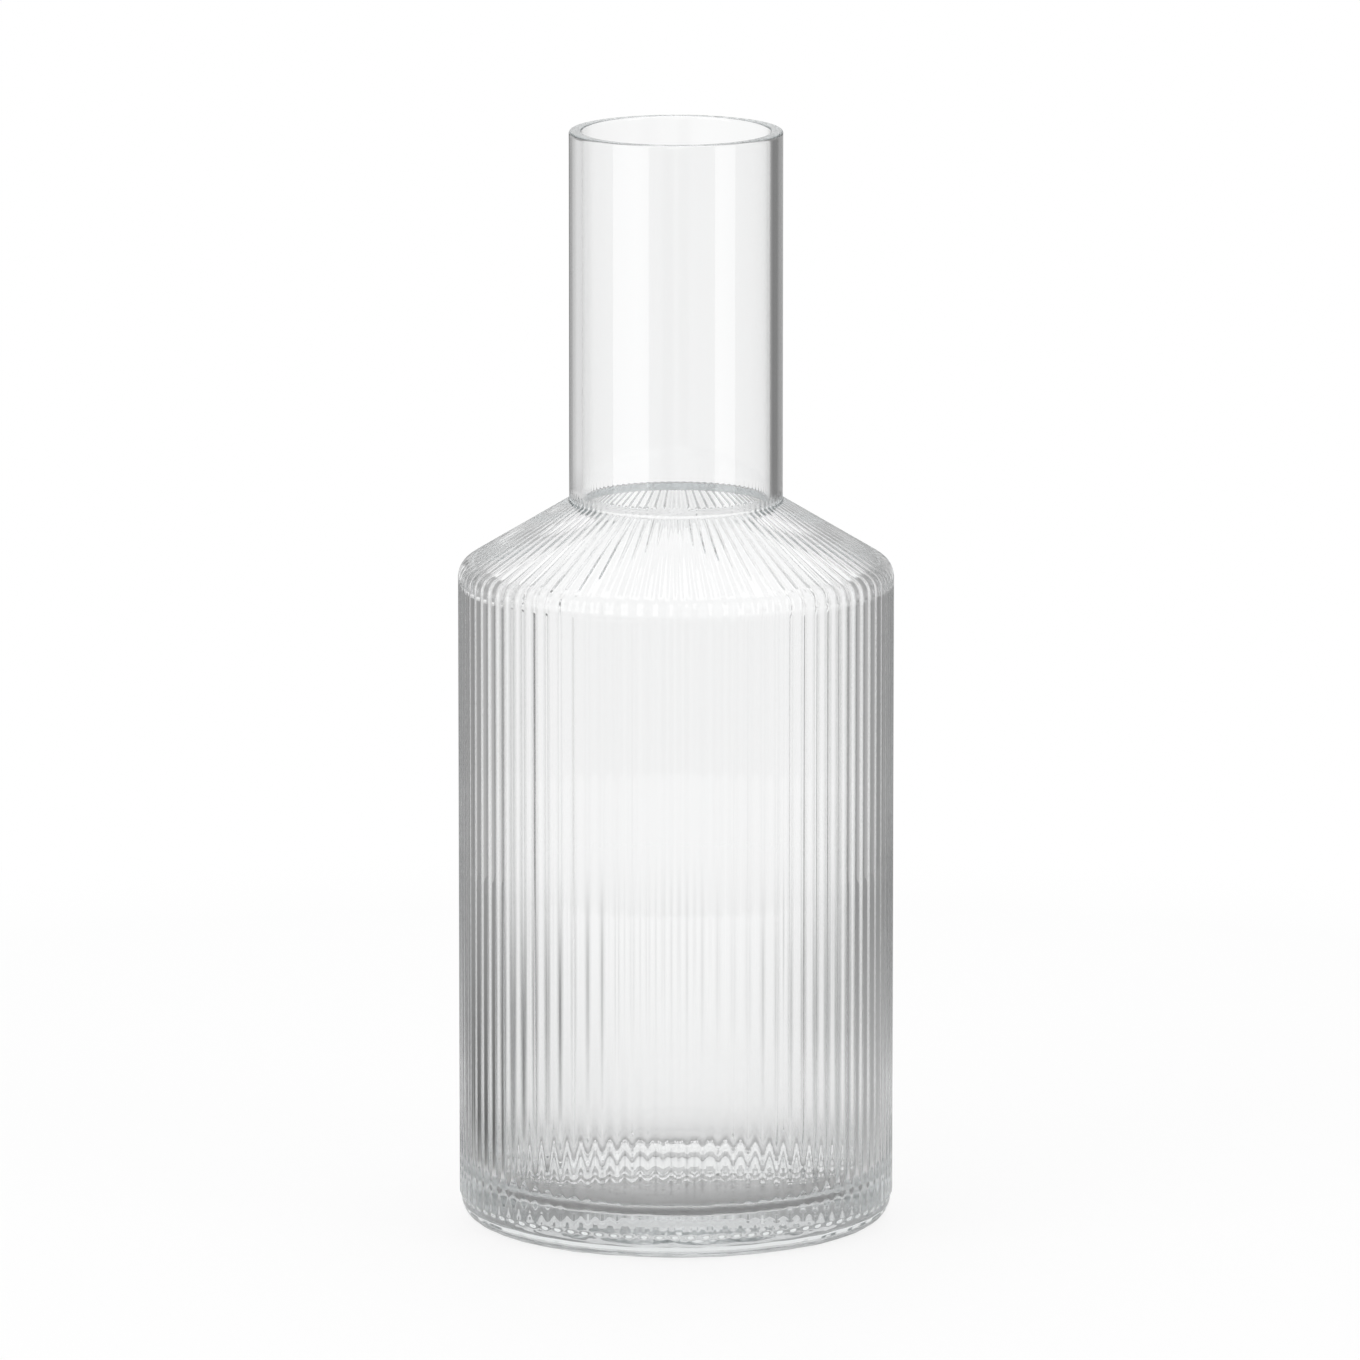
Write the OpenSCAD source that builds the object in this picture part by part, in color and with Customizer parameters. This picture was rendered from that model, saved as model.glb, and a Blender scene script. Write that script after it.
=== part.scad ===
// Ribbed water carafe: one clear blown-glass vessel, drawn as four zones that meet on flat faces.
// Origin at the centre of the foot, on the table. +Z runs up the carafe's axis. Millimetres.

/* [Body] */
// Diameter of the body over the crests of its ribs
body_d = 92; // [80:1:110]
// Height of the corner where the wall and the shoulder would meet without the bend
body_h = 140.3; // [100:0.1:180]
// Thickness of the wall, from the crest of a rib to the inside
body_wall = 2.4; // [1.8:0.1:4]

/* [Ribs] */
// Number of ribs round the body
rib_count = 88; // [60:1:100]
// Height of a rib, from the valley beside it to its crest
rib_h = 0.35; // [0.2:0.05:0.7]
// Height of the ribs' lower ends over the round of the heel
rib_lift = 0.6; // [0.3:0.1:4]

/* [Shoulder] */
// Rise of the shoulder, from the corner to the foot of the neck
shoulder_h = 14.2; // [10:0.1:22]
// Thickness of the shoulder, square to its slope
shoulder_wall = 2.4; // [2:0.1:3]
// Radius of the bend from the wall into the shoulder
bend_r = 4; // [2:0.1:6]

/* [Neck] */
// Outer diameter of the neck
neck_d = 45; // [38:0.5:52]
// Length of the neck, from the shoulder to the rim
neck_h = 78.5; // [50:0.5:110]
// Thickness of the neck's wall
neck_wall = 2.6; // [1.6:0.1:3.4]
// Radius of the polished edges of the rim
rim_edge_r = 0.5; // [0.2:0.05:0.7]

/* [Base] */
// Thickness of the floor over the foot
floor_t = 8.8; // [6:0.1:12]
// Radius of the bend from the floor into the wall, inside
floor_bend_r = 6.5; // [3:0.1:9]
// Radius of the heel, outside
heel_r = 4.6; // [2:0.1:6]
// Depth of the smooth heel behind the valleys of the ribs
heel_step = 0.1; // [0.1:0.05:0.4]
// Width of the ring that the carafe stands on
foot_w = 3; // [2:0.1:12]
// Depth of the hollow under the foot
punt_h = 2.5; // [0.8:0.1:4]

/* [Hidden] */

$fn = 120;
glass_colour = [0.86, 0.91, 0.92, 0.45];
// How far a cutting shape runs past the face that it cuts
overrun = 1;

body_r = body_d / 2;
inner_r = body_r - body_wall;
neck_r = neck_d / 2;
mouth_r = neck_r - neck_wall;

// Heights of the joins between the zones, from the table up
rib_z = heel_r + rib_lift;
base_h = floor_t + floor_bend_r;
shoulder_a = atan(shoulder_h / (body_r - neck_r));
bend_turn = 90 - shoulder_a;
bend_z = body_h - bend_r * tan(bend_turn / 2);
neck_z = body_h + shoulder_h;

// A rib's nose is the arc through its crest and the two valleys beside it
rib_turn = 360 / rib_count;
valley_r = body_r - rib_h;
valley_half_w = valley_r * sin(rib_turn / 2);
valley_drop = body_r - valley_r * cos(rib_turn / 2);
rib_nose_r = (valley_half_w ^ 2 + valley_drop ^ 2) / (2 * valley_drop);
rib_axis_r = body_r - rib_nose_r;
rib_fn = 48;

// Radius of the smooth heel, and of the hollow inside the foot's ring
heel_out_r = valley_r - heel_step;
punt_r = heel_out_r - heel_r - foot_w;

// Straight steps that stand for a rib's nose and for the bend on the shoulder's skin
nose_steps = 4;
bend_steps = 3;

// Radius of the ribbed outline at an angle from the nearest crest
function outline_r(a) =
    rib_axis_r * cos(a) + sqrt(rib_nose_r ^ 2 - (rib_axis_r * sin(a)) ^ 2);

// The ribbed outline as points, valley to valley
outline = [
    for (i = [0 : rib_count - 1], j = [0 : nose_steps - 1])
        let (off = rib_turn * (j / nose_steps - 1 / 2), a = rib_turn * i + off)
            outline_r(off) * [cos(a), sin(a)]
];

// Crest radius and height at each level of the shoulder: round the bend, then straight to the neck
shoulder_levels = [
    for (i = [0 : bend_steps])
        let (turn = bend_turn * i / bend_steps)
            [body_r - bend_r * (1 - cos(turn)), bend_z + bend_r * sin(turn)],
    [neck_r, neck_z]
];

// Height of the shoulder's inside face at a radius
function shoulder_inside_z(r) =
    body_h + (body_r - r) * tan(shoulder_a) - shoulder_wall / cos(shoulder_a);

// A closed skin through the ribbed outline, drawn in to the crest radius of each level
module ribbed_skin(levels) {
    n = len(outline);
    top = len(levels) - 1;
    rings = [
        for (level = levels, p = outline)
            [p.x * level[0] / body_r, p.y * level[0] / body_r, level[1]]
    ];
    low_centre = len(rings);
    high_centre = low_centre + 1;
    centres = [[0, 0, levels[0][1]], [0, 0, levels[top][1]]];
    sides = [
        for (k = [0 : top - 1], i = [0 : n - 1])
            let (a = k * n + i, b = k * n + (i + 1) % n)
                each [[a, a + n, b + n], [a, b + n, b]]
    ];
    caps = [
        for (i = [0 : n - 1])
            let (j = (i + 1) % n)
                each [[i, j, low_centre], [top * n + j, top * n + i, high_centre]]
    ];
    polyhedron(concat(rings, centres), concat(sides, caps));
}

// The plain straight neck, open at the top, with polished rim edges
module neck() {
    color(glass_colour)
    translate([0, 0, neck_z])
    rotate_extrude()
    translate([mouth_r, 0]) {
        square([neck_wall, neck_h - rim_edge_r]);
        translate([rim_edge_r, 0])
            square([neck_wall - 2 * rim_edge_r, neck_h]);
        for (x = [rim_edge_r, neck_wall - rim_edge_r])
            translate([x, neck_h - rim_edge_r])
                circle(rim_edge_r);
    }
}

// The sloping shoulder: the ribs run over the bend and draw in to the foot of the neck
module shoulder() {
    color(glass_colour)
    difference() {
        ribbed_skin(shoulder_levels);
        rotate_extrude()
            polygon([
                [0, bend_z - overrun],
                [inner_r, bend_z - overrun],
                [inner_r, shoulder_inside_z(inner_r)],
                [mouth_r, shoulder_inside_z(mouth_r)],
                [mouth_r, neck_z + overrun],
                [0, neck_z + overrun]
            ]);
    }
}

// The ribs' cross-section: round noses on a round core
module ribbed_disc() {
    circle(rib_axis_r);
    for (i = [0 : rib_count - 1])
        rotate(rib_turn * i)
        translate([rib_axis_r, 0])
            circle(rib_nose_r, $fn = rib_fn);
}

// The upright wall, ribbed outside and smooth inside
module body() {
    color(glass_colour)
    translate([0, 0, base_h])
    linear_extrude(bend_z - base_h)
    difference() {
        ribbed_disc();
        circle(inner_r);
    }
}

// The thick base: rounded heel, the ribs' lower ends, bent floor inside and a shallow hollow under the foot
module base() {
    punt_ball_r = (punt_r ^ 2 + punt_h ^ 2) / (2 * punt_h);
    color(glass_colour)
    difference() {
        union() {
            rotate_extrude() {
                square([heel_out_r - heel_r, rib_z + overrun]);
                translate([0, heel_r])
                    square([heel_out_r, rib_lift + overrun]);
                translate([heel_out_r - heel_r, heel_r])
                    circle(heel_r);
            }
            translate([0, 0, rib_z])
                linear_extrude(base_h - rib_z)
                ribbed_disc();
        }
        rotate_extrude()
        translate([0, floor_t]) {
            square([inner_r - floor_bend_r, floor_bend_r + overrun]);
            translate([0, floor_bend_r])
                square([inner_r, overrun]);
            intersection() {
                translate([inner_r - floor_bend_r, floor_bend_r])
                    circle(floor_bend_r);
                square([inner_r, floor_bend_r]);
            }
        }
        translate([0, 0, punt_h - punt_ball_r])
            sphere(punt_ball_r);
    }
}

neck();
shoulder();
body();
base();
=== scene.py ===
import math
import bpy
import numpy as np
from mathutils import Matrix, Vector


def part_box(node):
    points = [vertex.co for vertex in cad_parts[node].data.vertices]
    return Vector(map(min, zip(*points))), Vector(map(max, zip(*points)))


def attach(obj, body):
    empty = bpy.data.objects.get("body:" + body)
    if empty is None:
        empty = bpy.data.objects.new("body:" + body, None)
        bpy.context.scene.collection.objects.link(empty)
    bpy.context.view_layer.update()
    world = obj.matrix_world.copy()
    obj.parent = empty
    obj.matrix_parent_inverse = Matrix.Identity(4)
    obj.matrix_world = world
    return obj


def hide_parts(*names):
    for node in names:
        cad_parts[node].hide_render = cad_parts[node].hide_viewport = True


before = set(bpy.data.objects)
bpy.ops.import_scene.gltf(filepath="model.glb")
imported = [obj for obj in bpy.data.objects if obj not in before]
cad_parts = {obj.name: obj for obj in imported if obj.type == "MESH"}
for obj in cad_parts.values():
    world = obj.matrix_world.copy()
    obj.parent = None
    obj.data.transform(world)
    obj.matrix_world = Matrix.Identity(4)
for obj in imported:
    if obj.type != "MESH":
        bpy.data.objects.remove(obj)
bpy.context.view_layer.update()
print("frame: nodes", sorted(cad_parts))

mm = 0.001

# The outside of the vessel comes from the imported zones
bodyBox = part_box("body")
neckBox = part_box("neck")
bodyR = bodyBox[1][0]
neckR = neckBox[1][0]
neckZ = neckBox[0][2]
rimZ = neckBox[1][2]

vessel = {
    "ribs": 88,
    "pointsPerRib": 8,
    "ribHeight": 0.35 * mm,
    "ribTurn": math.radians(-0.23),   # a crest stands this far round from the front
    "ribStart": 4.6 * mm,      # the ribs grow out of the smooth heel between these heights
    "ribFull": 6.0 * mm,
    "ribTop": 2.0 * mm,        # they die out over this height on the neck's foot
    "bodyH": 140.3 * mm,
    "bendR": 4.0 * mm,
    "neckFootR": 0.8 * mm,
    "rimEdgeR": 0.5 * mm,
    "neckWall": 2.6 * mm,
    "shoulderWall": 2.4 * mm,
    "bodyWall": 2.4 * mm,
    "mouthFootR": 1.0 * mm,
    "mouthRib": 0.05 * mm,     # depth of the ribs' print inside the neck's foot
    "mouthReach": 1.5 * mm,    # and how far round the foot it reaches
    "insideBendR": 5.0 * mm,
    "floorZ": 8.8 * mm,
    "floorBendR": 6.5 * mm,
    "heelR": 4.6 * mm,
    "heelStep": 0.1 * mm,      # the heel stands this far behind the ribs' valleys
    "puntR": 37.95 * mm,       # the hollow under the foot
    "puntH": 2.5 * mm,
    "puntRows": 16,
    "floorRows": 18,
    "poleShare": 0.02,         # the innermost rings of hollow and floor, as a share of the outermost
    "fadeRows": 9,             # rows from the heel out to the ribs
    "arcStep": 0.75 * mm,      # about the longest step round a corner
    "runLength": 40.0 * mm,    # longest straight step up the glass
    "fineRun": 0.5 * mm,       # and where the ribs die out
    "guard": 0.3 * mm,
    "waves": 6,                # plane waves that make the foot and the floor uneven
    "waveLength": 11.0 * mm,   # of the first one; each next one is shorter by the ratio
    "waveRatio": 0.88,
    "waveTurn": 2.4,           # radians from one heading to the next
    "waveDepth": 0.25 * mm,
    "waveFade": 5.0 * mm,      # they die out over this height up the glass
}


# Points from a to b, the first left out, no step longer than the given length; a guard step at each end
# keeps the smooth shading of a corner from running out along the straight
def straightRun(a, b, longest, guard):
    a, b = np.array(a), np.array(b)
    length = np.linalg.norm(b - a)
    count = max(1, int(math.ceil(length / longest)))
    t = np.linspace(0, 1, count + 1)[1:]
    if length > 4 * guard:
        t = np.concatenate([[guard / length], t[:-1], [1 - guard / length, 1]])
    return a + (b - a) * t[:, None]


# Arc that rounds corner c between the runs from a and to b: the points lie at equal turns about the
# centre, which is on the corner's bisector at radius / sin(half the angle) from the corner
def roundedCorner(a, c, b, radius, steps):
    a, c, b = np.array(a), np.array(c), np.array(b)
    toA = (a - c) / np.linalg.norm(a - c)
    toB = (b - c) / np.linalg.norm(b - c)
    half = math.acos(np.clip(toA @ toB, -1, 1)) / 2
    bisector = (toA + toB) / np.linalg.norm(toA + toB)
    centre = c + bisector * radius / math.sin(half)
    reach = radius / math.tan(half)
    first = c + toA * reach - centre
    last = c + toB * reach - centre
    sweep = math.pi - 2 * half
    t = np.linspace(0, 1, steps + 1)[:, None]
    return centre + (first * np.sin((1 - t) * sweep) + last * np.sin(t * sweep)) / math.sin(sweep)


# The section of the glass as one line: under the foot, up the outside, over the rim, down the inside.
# The hollow's height falls with the square of the radius, and the glass steps out from the heel to the
# crests as t * t * (3 - 2 * t)
def vesselSection(v):
    slope = math.atan2(neckZ - v["bodyH"], bodyR - neckR)
    mouthR = neckR - v["neckWall"]
    innerR = bodyR - v["bodyWall"]
    flatR = innerR - v["floorBendR"]
    heelOutR = bodyR - v["ribHeight"] - v["heelStep"]

    def insideZ(r):
        return v["bodyH"] + (bodyR - r) * math.tan(slope) - v["shoulderWall"] / math.cos(slope)

    share = np.linspace(v["poleShare"], 1, v["puntRows"])
    punt = np.stack([share * v["puntR"], v["puntH"] * (1 - share ** 2)], axis=1)
    heelSteps = int(math.ceil(v["heelR"] * math.pi / 2 / v["arcStep"]))
    heel = roundedCorner(punt[-1], (heelOutR, 0), (heelOutR, v["bodyH"]), v["heelR"], heelSteps)
    t = np.linspace(0, 1, v["fadeRows"])
    fadeR = heelOutR + (bodyR - heelOutR) * t ** 2 * (3 - 2 * t)
    fade = np.stack([fadeR, v["ribStart"] + (v["ribFull"] - v["ribStart"]) * t], axis=1)
    corners = [                # each with its radius; 0 is a plain point, reached in fine steps
        (fade[-1], 0),
        ((bodyR, v["bodyH"]), v["bendR"]),
        ((neckR, neckZ), v["neckFootR"]),
        ((neckR, neckZ + v["ribTop"]), 0),
        ((neckR, rimZ), v["rimEdgeR"]),
        ((mouthR, rimZ), v["rimEdgeR"]),
        ((mouthR, insideZ(mouthR)), v["mouthFootR"]),
        ((innerR, insideZ(innerR)), v["insideBendR"]),
        ((innerR, v["floorZ"]), v["floorBendR"]),
        ((flatR - v["floorBendR"], v["floorZ"]), 0),
    ]
    line = [punt, straightRun(punt[-1], heel[0], v["runLength"], v["guard"]), heel[1:], fade[1:]]
    for (a, _), (c, radius), (b, _) in zip(corners, corners[1:], corners[2:]):
        if radius == 0:
            line.append(straightRun(line[-1][-1], c, v["fineRun"], v["guard"]))
            continue
        steps = max(4, int(math.ceil(radius * math.pi / 2 / v["arcStep"])))
        arc = roundedCorner(a, c, b, radius, steps)
        line.append(straightRun(line[-1][-1], arc[0], v["runLength"], v["guard"]))
        line.append(arc[1:])
    floorR = np.linspace(1, v["poleShare"], v["floorRows"])[1:] * flatR
    line.append(np.stack([floorR, np.full_like(floorR, v["floorZ"])], axis=1))
    return np.concatenate(line)


# Depth under a rib's crest, 0 at the crest and 1 in the valley: a plain cosine wave
def ribDepth(turn):
    return (1 - np.cos(turn)) / 2


# Uneven glass, 0 at its highest and 1 at its lowest: the mean of sine waves that run in directions a
# golden angle apart, each shorter than the one before
def unevenDepth(x, y, v):
    total = np.zeros_like(x)
    for i in range(v["waves"]):
        heading = v["waveTurn"] * (i + 1)
        turns = (x * math.cos(heading) + y * math.sin(heading)) / (v["waveLength"] * v["waveRatio"] ** i)
        total += np.sin(2 * math.pi * turns + heading)
    return (1 - total / v["waves"]) / 2


# Spins the section round the axis and sinks it along its own normal by the ribs' wave and the unevenness
def vesselMesh(v):
    line = vesselSection(v)
    r, z = line[:, 0], line[:, 1]
    along = np.gradient(line, axis=0)
    along /= np.linalg.norm(along, axis=1)[:, None]
    normal = np.stack([along[:, 1], -along[:, 0]], axis=1)
    top = int(np.argmax(z))
    outside = np.arange(len(line)) < top
    grow = np.clip((z - v["ribStart"]) / (v["ribFull"] - v["ribStart"]), 0, 1)
    fadeOut = np.clip((neckZ + v["ribTop"] - z) / v["ribTop"], 0, 1)
    outer = v["ribHeight"] * grow ** 2 * (3 - 2 * grow) * fadeOut * (r / bodyR)
    mouthR = neckR - v["neckWall"]
    foot = np.hypot(r - mouthR, z - neckZ + v["shoulderWall"])
    inner = v["mouthRib"] * np.clip(1 - foot / v["mouthReach"], 0, 1)
    sink = np.where(outside, outer, inner)
    columns = v["ribs"] * v["pointsPerRib"]
    turn = np.linspace(0, 2 * math.pi, columns, endpoint=False)
    depth = sink[:, None] * ribDepth((turn - v["ribTurn"]) * v["ribs"])
    wavyTop = np.where(outside, v["ribStart"], v["floorZ"] + v["floorBendR"])
    wavy = v["waveDepth"] * np.clip((wavyTop - z) / v["waveFade"], 0, 1)
    depth += wavy[:, None] * unevenDepth(r[:, None] * np.cos(turn), r[:, None] * np.sin(turn), v)
    ringR = r[:, None] - normal[:, :1] * depth
    ringZ = z[:, None] - normal[:, 1:] * depth
    grid = np.stack([ringR * np.cos(turn), ringR * np.sin(turn), ringZ], axis=2)
    rows = len(line)
    poles = np.array([[0, 0, v["puntH"]], [0, 0, v["floorZ"]]])
    points = np.concatenate([grid.reshape(-1, 3), poles])
    k, j = np.meshgrid(np.arange(rows - 1), np.arange(columns), indexing="ij")
    nextJ = (j + 1) % columns
    quads = np.stack([k * columns + j, k * columns + nextJ,
                      (k + 1) * columns + nextJ, (k + 1) * columns + j], axis=2).reshape(-1, 4)
    j = np.arange(columns)
    nextJ = (j + 1) % columns
    under = np.stack([np.full(columns, rows * columns), nextJ, j], axis=1)
    last = (rows - 1) * columns
    floor = np.stack([np.full(columns, rows * columns + 1), last + j, last + nextJ], axis=1)
    mesh = bpy.data.meshes.new("carafeGlass")
    mesh.from_pydata(points.tolist(), [], quads.tolist() + under.tolist() + floor.tolist())
    mesh.polygons.foreach_set("use_smooth", np.ones(len(mesh.polygons), dtype=bool))
    mesh.update()
    return mesh


glassFinish = {
    "ior": 1.5,
    "clear": (1.0, 1.0, 1.0, 1),
    "absorbColour": (0.90, 0.91, 0.912, 1),
    "absorbDensity": 25.0,
    "drawStretch": (1.0, 1.0, 0.12),   # draw lines run up the glass
    "drawScale": 160.0,
    "drawDetail": 2.0,
    "drawDepth": 0.004 * mm,
    "cloud": (0.985, 0.988, 0.988, 1),
}


def clearGlass(g):
    mat = bpy.data.materials.new("clearGlass")
    mat.use_nodes = True
    nt = mat.node_tree
    shader = nt.nodes["Principled BSDF"]
    coord = nt.nodes.new("ShaderNodeTexCoord")
    stretch = nt.nodes.new("ShaderNodeVectorMath")
    stretch.operation = "MULTIPLY"
    stretch.inputs[1].default_value = g["drawStretch"]
    nt.links.new(coord.outputs["Object"], stretch.inputs[0])
    draw = nt.nodes.new("ShaderNodeTexNoise")
    draw.inputs["Scale"].default_value = g["drawScale"]
    draw.inputs["Detail"].default_value = g["drawDetail"]
    nt.links.new(stretch.outputs[0], draw.inputs["Vector"])
    bump = nt.nodes.new("ShaderNodeBump")
    bump.inputs["Distance"].default_value = g["drawDepth"]
    nt.links.new(draw.outputs["Fac"], bump.inputs["Height"])
    nt.links.new(bump.outputs[0], shader.inputs["Normal"])
    tint = nt.nodes.new("ShaderNodeMix")
    tint.data_type = "RGBA"
    tint.inputs["A"].default_value = g["clear"]
    tint.inputs["B"].default_value = g["cloud"]
    nt.links.new(draw.outputs["Fac"], tint.inputs["Factor"])
    nt.links.new(tint.outputs["Result"], shader.inputs["Base Color"])
    shader.inputs["Roughness"].default_value = 0.0
    shader.inputs["IOR"].default_value = g["ior"]
    shader.inputs["Transmission Weight"].default_value = 1.0
    absorb = nt.nodes.new("ShaderNodeVolumeAbsorption")
    absorb.inputs["Color"].default_value = g["absorbColour"]
    absorb.inputs["Density"].default_value = g["absorbDensity"]
    nt.links.new(absorb.outputs[0], nt.nodes["Material Output"].inputs["Volume"])
    return mat


carafe = bpy.data.objects.new("carafe", vesselMesh(vessel))
bpy.context.scene.collection.objects.link(carafe)
carafe.data.materials.append(clearGlass(glassFinish))
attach(carafe, "root")
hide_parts("neck", "shoulder", "body", "base")
print("carafe:", len(carafe.data.polygons), "faces")

studio = {
    "tableR": 0.40,
    "tablePoints": 96,
    "tableDrop": 0.02 * mm,
    "tableRough": 0.6,
    "tableColour": (0.72, 0.72, 0.72, 1),
    "fadeFrom": 0.10,        # the table turns white between this radius and its edge
    "whiteShare": 0.85,      # how much of its own shading the camera is spared
    "paintedShadeSpan": (0.035, 0.13),   # painted shade darkens the table to the sides, between these,
    "paintedShadeLevels": (0.04, 0.45),   # to these levels at left and right
    "paintedMirrorGlowStart": (-0.05, -0.15),   # painted glow in the mirror: in front the glass mirrors the table as a white sweep
    "paintedMirrorGlowLevel": 0.9,
    "roomLevel": 0.29,       # what the glass mirrors, inside and out, beside the lamps
    "bodyWalls": ((-1, 0.55), (-0.82, 0.45), (-0.6, 0.25), (-0.3, 0.29), (0, 0.65),
                  (0.3, 0.29), (0.6, 0.25), (0.82, 0.45), (1, 0.55)),
    "neckWalls": ((-1, 0.65), (-0.55, 0.75), (-0.32, 0.55), (-0.22, 0.18), (-0.08, 0.18), (0, 0.5),
                  (0.12, 0.45), (0.3, 0.38), (0.45, 0.18), (0.62, 0.18), (0.75, 0.45), (1, 0.25)),
    "neckFrom": (-0.180, -0.172),   # heights, as sines, where the one gives way to the other
    "horizon": (-0.12, -0.05),   # and where both give way to the walls above
    "rightRise": (-0.16, 0.30),   # the right wall turns white between these heights
    "sideBlend": 0.15,       # left and right blend over this sine to either side
    "bandFoot": (0.0, 0.06),   # a dim band on the side walls starts and ends at these heights
    "bandTop": (0.42, 0.32),
    "bandSide": (0.05, 0.25),   # and sets in this far to the side
    "bandLevel": 0.42,
    "caught": (8.0, 16.0),   # light mirrored this often was caught in the wall
    "caughtSide": (0.10, 0.45),   # it has one level in the middle and one to the sides
    "caughtLevels": (1.3, 0.0),
    "boxAway": 0.80,
    "boxHeight": 1.1,
    "boxes": {               # azimuth from the camera, width in degrees and radiance of each softbox
        "leftBox": (-50.0, 42.0, 1.6),
        "rightBox": (54.0, 24.0, 1.6),
    },
    "topBack": 0.2,
    "topHeight": 1.0,
    "topSize": 0.6,
    "topLevel": 1.5,
}


# Puts a number on a socket, or links another socket to it
def feed(nt, value, socket):
    if isinstance(value, float):
        socket.default_value = value
    else:
        nt.links.new(value, socket)


# Clamped ramp, straight or smooth, from one pair of values to another; its ends may be sockets
def ramp(nt, value, fromEnds, toEnds=(0.0, 1.0), smooth=False):
    node = nt.nodes.new("ShaderNodeMapRange")
    if smooth:
        node.interpolation_type = "SMOOTHSTEP"
    nt.links.new(value, node.inputs["Value"])
    for name, end in zip(("From Min", "From Max", "To Min", "To Max"), (*fromEnds, *toEnds)):
        feed(nt, end, node.inputs[name])
    return node.outputs[0]


def combine(nt, operation, a, b):
    node = nt.nodes.new("ShaderNodeMath")
    node.operation = operation
    feed(nt, a, node.inputs[0])
    feed(nt, b, node.inputs[1])
    return node.outputs[0]


# Brightness of a wall from left to right: straight lines between the points, which are sines and levels
def wallProfile(nt, across, points):
    node = nt.nodes.new("ShaderNodeValToRGB")
    stops = node.color_ramp.elements
    while len(stops) < len(points):
        stops.new(0.5)
    for stop, (x, level) in zip(stops, points):
        stop.position = (x + 1) / 2
        stop.color = (level, level, level, 1)
    nt.links.new(across, node.inputs["Fac"])
    return node.outputs["Color"]


# World: white to the camera and straight through the glass; what the glass mirrors is a dim room with
# white walls higher up
def studioWorld(s):
    world = bpy.data.worlds.new("studio")
    bpy.context.scene.world = world
    world.use_nodes = True
    nt = world.node_tree
    back = nt.nodes["Background"]
    back.inputs["Color"].default_value = (1, 1, 1, 1)
    coord = nt.nodes.new("ShaderNodeTexCoord")
    split = nt.nodes.new("ShaderNodeSeparateXYZ")
    nt.links.new(coord.outputs["Generated"], split.inputs[0])
    x, z = split.outputs["X"], split.outputs["Z"]
    across = ramp(nt, x, (-1.0, 1.0))
    walls = [wallProfile(nt, across, s[name]) for name in ("bodyWalls", "neckWalls")]
    low = ramp(nt, ramp(nt, z, s["neckFrom"]), (0.0, 1.0), walls)
    rightWall = ramp(nt, z, s["rightRise"], (s["roomLevel"], 1.0))
    high = ramp(nt, x, (-s["sideBlend"], s["sideBlend"]), (1.0, rightWall))
    side = nt.nodes.new("ShaderNodeMath")
    side.operation = "ABSOLUTE"
    nt.links.new(x, side.inputs[0])
    band = combine(nt, "MULTIPLY", ramp(nt, z, s["bandFoot"]), ramp(nt, z, s["bandTop"]))
    band = combine(nt, "MULTIPLY", band, ramp(nt, side.outputs[0], s["bandSide"]))
    dim = ramp(nt, band, (0.0, 1.0), (1.0, s["bandLevel"]))
    high = combine(nt, "MULTIPLY", high, dim)
    room = ramp(nt, z, s["horizon"], (low, high))
    mirrored = nt.nodes.new("ShaderNodeLightPath").outputs["Glossy Depth"]
    caught = ramp(nt, side.outputs[0], s["caughtSide"], s["caughtLevels"])
    room = ramp(nt, mirrored, s["caught"], (room, caught))
    level = ramp(nt, mirrored, (0.0, 1.0), (1.0, room))
    nt.links.new(level, back.inputs["Strength"])
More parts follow.
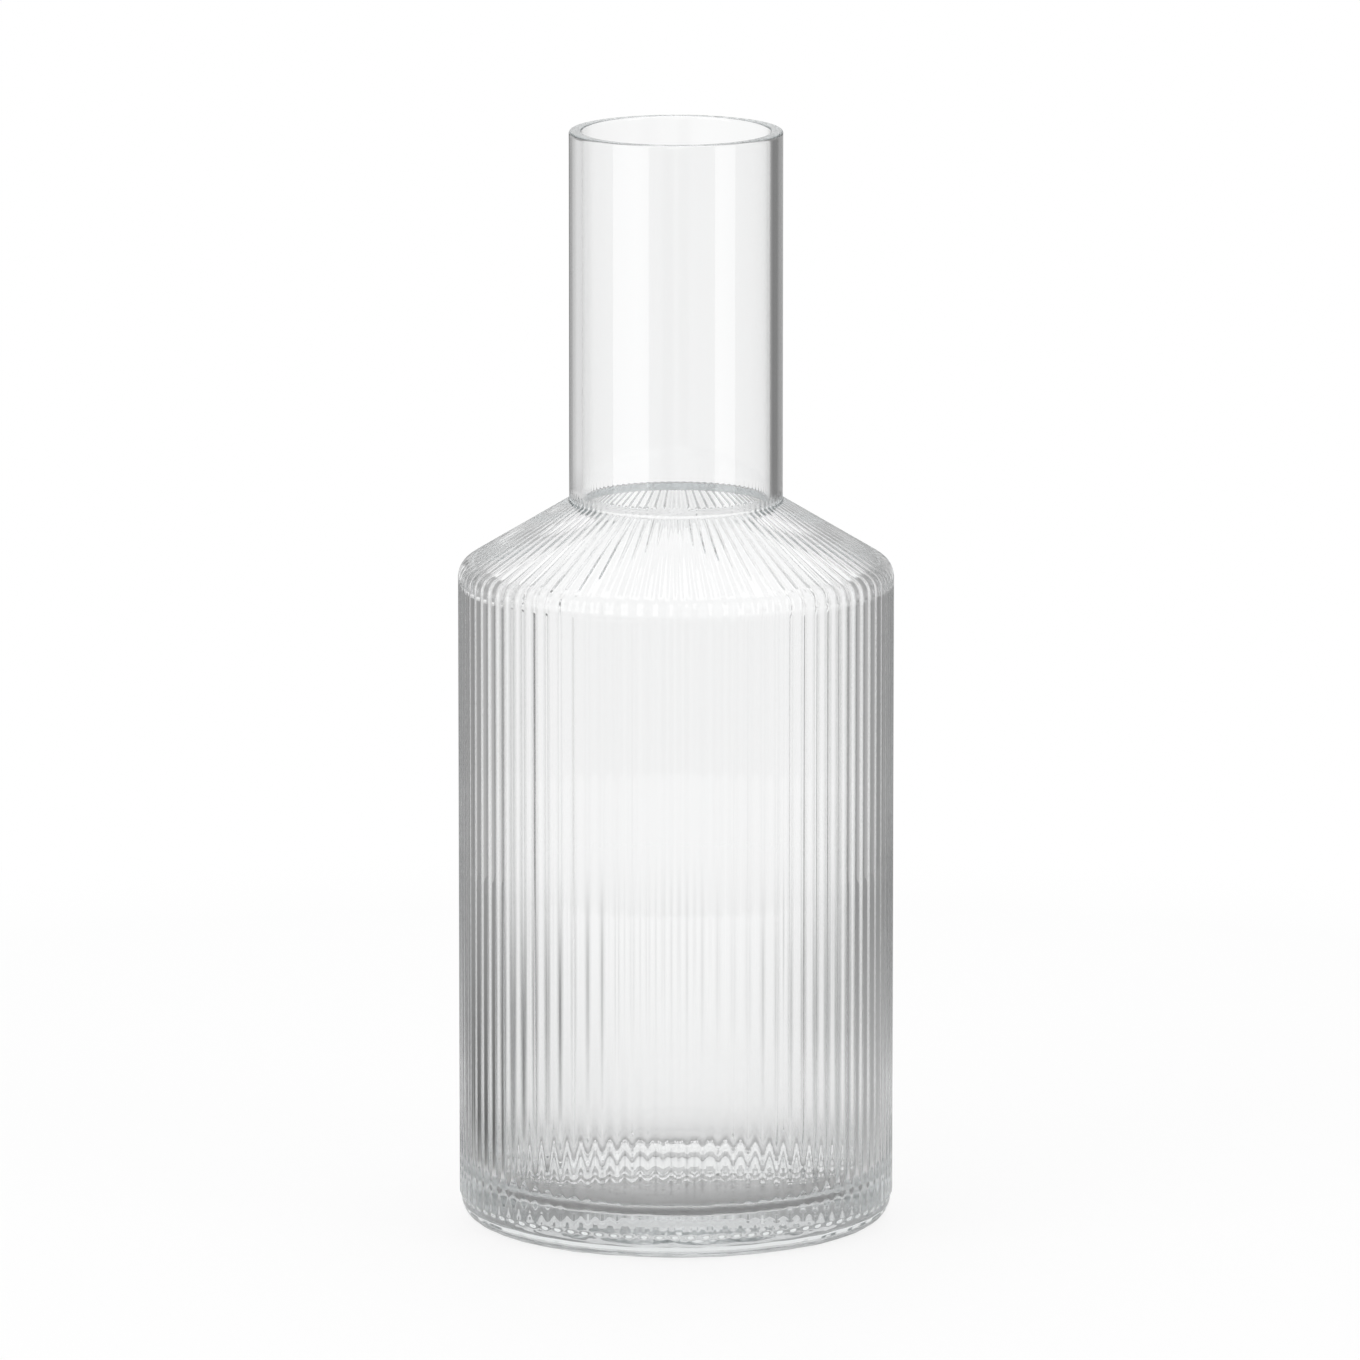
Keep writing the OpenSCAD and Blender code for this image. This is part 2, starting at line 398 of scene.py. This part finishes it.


# White table: painted shade darkens its colour and glow to the sides near the carafe, plain white
# further out and mostly so to the camera; in the mirror it glows as painted light, dim at the back and
# white in front
def tableWhite(s):
    mat = bpy.data.materials.new("tableWhite")
    mat.use_nodes = True
    nt = mat.node_tree
    shader = nt.nodes["Principled BSDF"]
    shader.inputs["Roughness"].default_value = s["tableRough"]
    coord = nt.nodes.new("ShaderNodeTexCoord")
    place = nt.nodes.new("ShaderNodeSeparateXYZ")
    nt.links.new(coord.outputs["Object"], place.inputs[0])
    away = nt.nodes.new("ShaderNodeVectorMath")
    away.operation = "LENGTH"
    nt.links.new(coord.outputs["Object"], away.inputs[0])
    path = nt.nodes.new("ShaderNodeLightPath")
    toCamera = path.outputs["Is Camera Ray"]
    mirrored = path.outputs["Glossy Depth"]
    # Painted shade: the table's colour and glow fall off to the left and right of the carafe
    near, far = s["paintedShadeSpan"]
    left = ramp(nt, place.outputs["X"], (-near, -far), (1.0, s["paintedShadeLevels"][0]), smooth=True)
    right = ramp(nt, place.outputs["X"], (near, far), (1.0, s["paintedShadeLevels"][1]), smooth=True)
    paintedShade = combine(nt, "MULTIPLY", left, right)
    level = combine(nt, "MAXIMUM", paintedShade, toCamera)
    # The table's colour carries the painted shade, except to the camera
    tone = nt.nodes.new("ShaderNodeMix")
    tone.data_type = "RGBA"
    tone.inputs["A"].default_value = (0, 0, 0, 1)
    tone.inputs["B"].default_value = s["tableColour"]
    nt.links.new(level, tone.inputs["Factor"])
    nt.links.new(tone.outputs["Result"], shader.inputs["Base Color"])
    fade = ramp(nt, away.outputs["Value"], (s["fadeFrom"], s["tableR"]), smooth=True)
    # Glow straight through the glass: the painted shade near the carafe, even white further out
    plain = ramp(nt, fade, (0.0, 1.0), (level, 1.0))
    # Painted light in the mirror: the table glows dim at the back and white in front
    sweep = ramp(nt, place.outputs["Y"], s["paintedMirrorGlowStart"], (s["roomLevel"], s["paintedMirrorGlowLevel"]))
    # Painted light for light caught in the wall: the table glows up to 1.3 where its painted shade is
    # lightest, 0 to the sides
    caught = ramp(nt, paintedShade, (1.0, 0.0), s["caughtLevels"])
    sweep = ramp(nt, mirrored, s["caught"], (sweep, caught))
    glow = nt.nodes.new("ShaderNodeEmission")
    nt.links.new(ramp(nt, mirrored, (0.0, 1.0), (plain, sweep)), glow.inputs["Strength"])
    seen = combine(nt, "MULTIPLY", toCamera, s["whiteShare"])
    most = combine(nt, "MAXIMUM", fade, seen)
    most = combine(nt, "MAXIMUM", most, ramp(nt, mirrored, s["caught"]))
    mix = nt.nodes.new("ShaderNodeMixShader")
    nt.links.new(most, mix.inputs["Fac"])
    nt.links.new(shader.outputs[0], mix.inputs[1])
    nt.links.new(glow.outputs[0], mix.inputs[2])
    nt.links.new(mix.outputs[0], nt.nodes["Material Output"].inputs["Surface"])
    return mat


# Round table top, drawn as one flat ring of points
def tableTop(s):
    turn = np.linspace(0, 2 * math.pi, s["tablePoints"], endpoint=False)
    drop = np.full_like(turn, -s["tableDrop"])
    ring = np.stack([s["tableR"] * np.cos(turn), s["tableR"] * np.sin(turn), drop], axis=1)
    mesh = bpy.data.meshes.new("tableTop")
    mesh.from_pydata(ring.tolist(), [], [list(range(s["tablePoints"]))])
    mesh.materials.append(tableWhite(s))
    top = bpy.data.objects.new("tableTop", mesh)
    bpy.context.scene.collection.objects.link(top)


# One area lamp; its power is radiance times pi times its area, so the level reads as brightness
def softbox(name, place, aim, width, height, level):
    data = bpy.data.lights.new(name, "AREA")
    data.shape = "RECTANGLE"
    data.size = width
    data.size_y = height
    data.energy = level * math.pi * width * height
    lamp = bpy.data.objects.new(name, data)
    lamp.location = place
    lamp.rotation_euler = (Vector(aim) - Vector(place)).to_track_quat("-Z", "Y").to_euler()
    lamp.visible_camera = False
    lamp.visible_transmission = False
    bpy.context.scene.collection.objects.link(lamp)


def studioLamps(s):
    for name, (azimuth, wide, level) in s["boxes"].items():
        turn = math.radians(azimuth)
        place = (s["boxAway"] * math.sin(turn), -s["boxAway"] * math.cos(turn), s["boxHeight"] / 2)
        width = 2 * s["boxAway"] * math.tan(math.radians(wide / 2))
        softbox(name, place, (0, 0, place[2]), width, s["boxHeight"], level)
    place = (0, s["topBack"], s["topHeight"])
    softbox("topBox", place, (0, 0, 0), s["topSize"], s["topSize"], s["topLevel"])


studioWorld(studio)
tableTop(studio)
studioLamps(studio)
print("studio: world, table and lamps")

# Camera fitted to the photograph's outline
shot = {
    "sensorMm": 36.0,
    "farthest": 20.0,
    "framePx": 1360,
    "focalPx": 14454.7,
    "away": 2.9995,
    "height": 0.6855,
    "pitchDeg": 10.757,
    "axisPx": 676.0,
}


def photoCamera(c):
    data = bpy.data.cameras.new("camera")
    data.sensor_width = c["sensorMm"]
    data.lens = data.sensor_width * c["focalPx"] / c["framePx"]
    data.shift_x = 0.5 - c["axisPx"] / c["framePx"]
    data.clip_end = c["farthest"]
    cam = bpy.data.objects.new("camera", data)
    cam.location = (0, -c["away"], c["height"])
    cam.rotation_euler = (math.radians(90 - c["pitchDeg"]), 0, 0)
    bpy.context.scene.collection.objects.link(cam)
    bpy.context.scene.camera = cam


photoCamera(shot)
bpy.context.scene.view_settings.view_transform = "Standard"
# Light that is caught in the wall runs down it in dozens of mirrorings
bpy.context.scene.cycles.max_bounces = 96
bpy.context.scene.cycles.transmission_bounces = 32
bpy.context.scene.cycles.glossy_bounces = 80
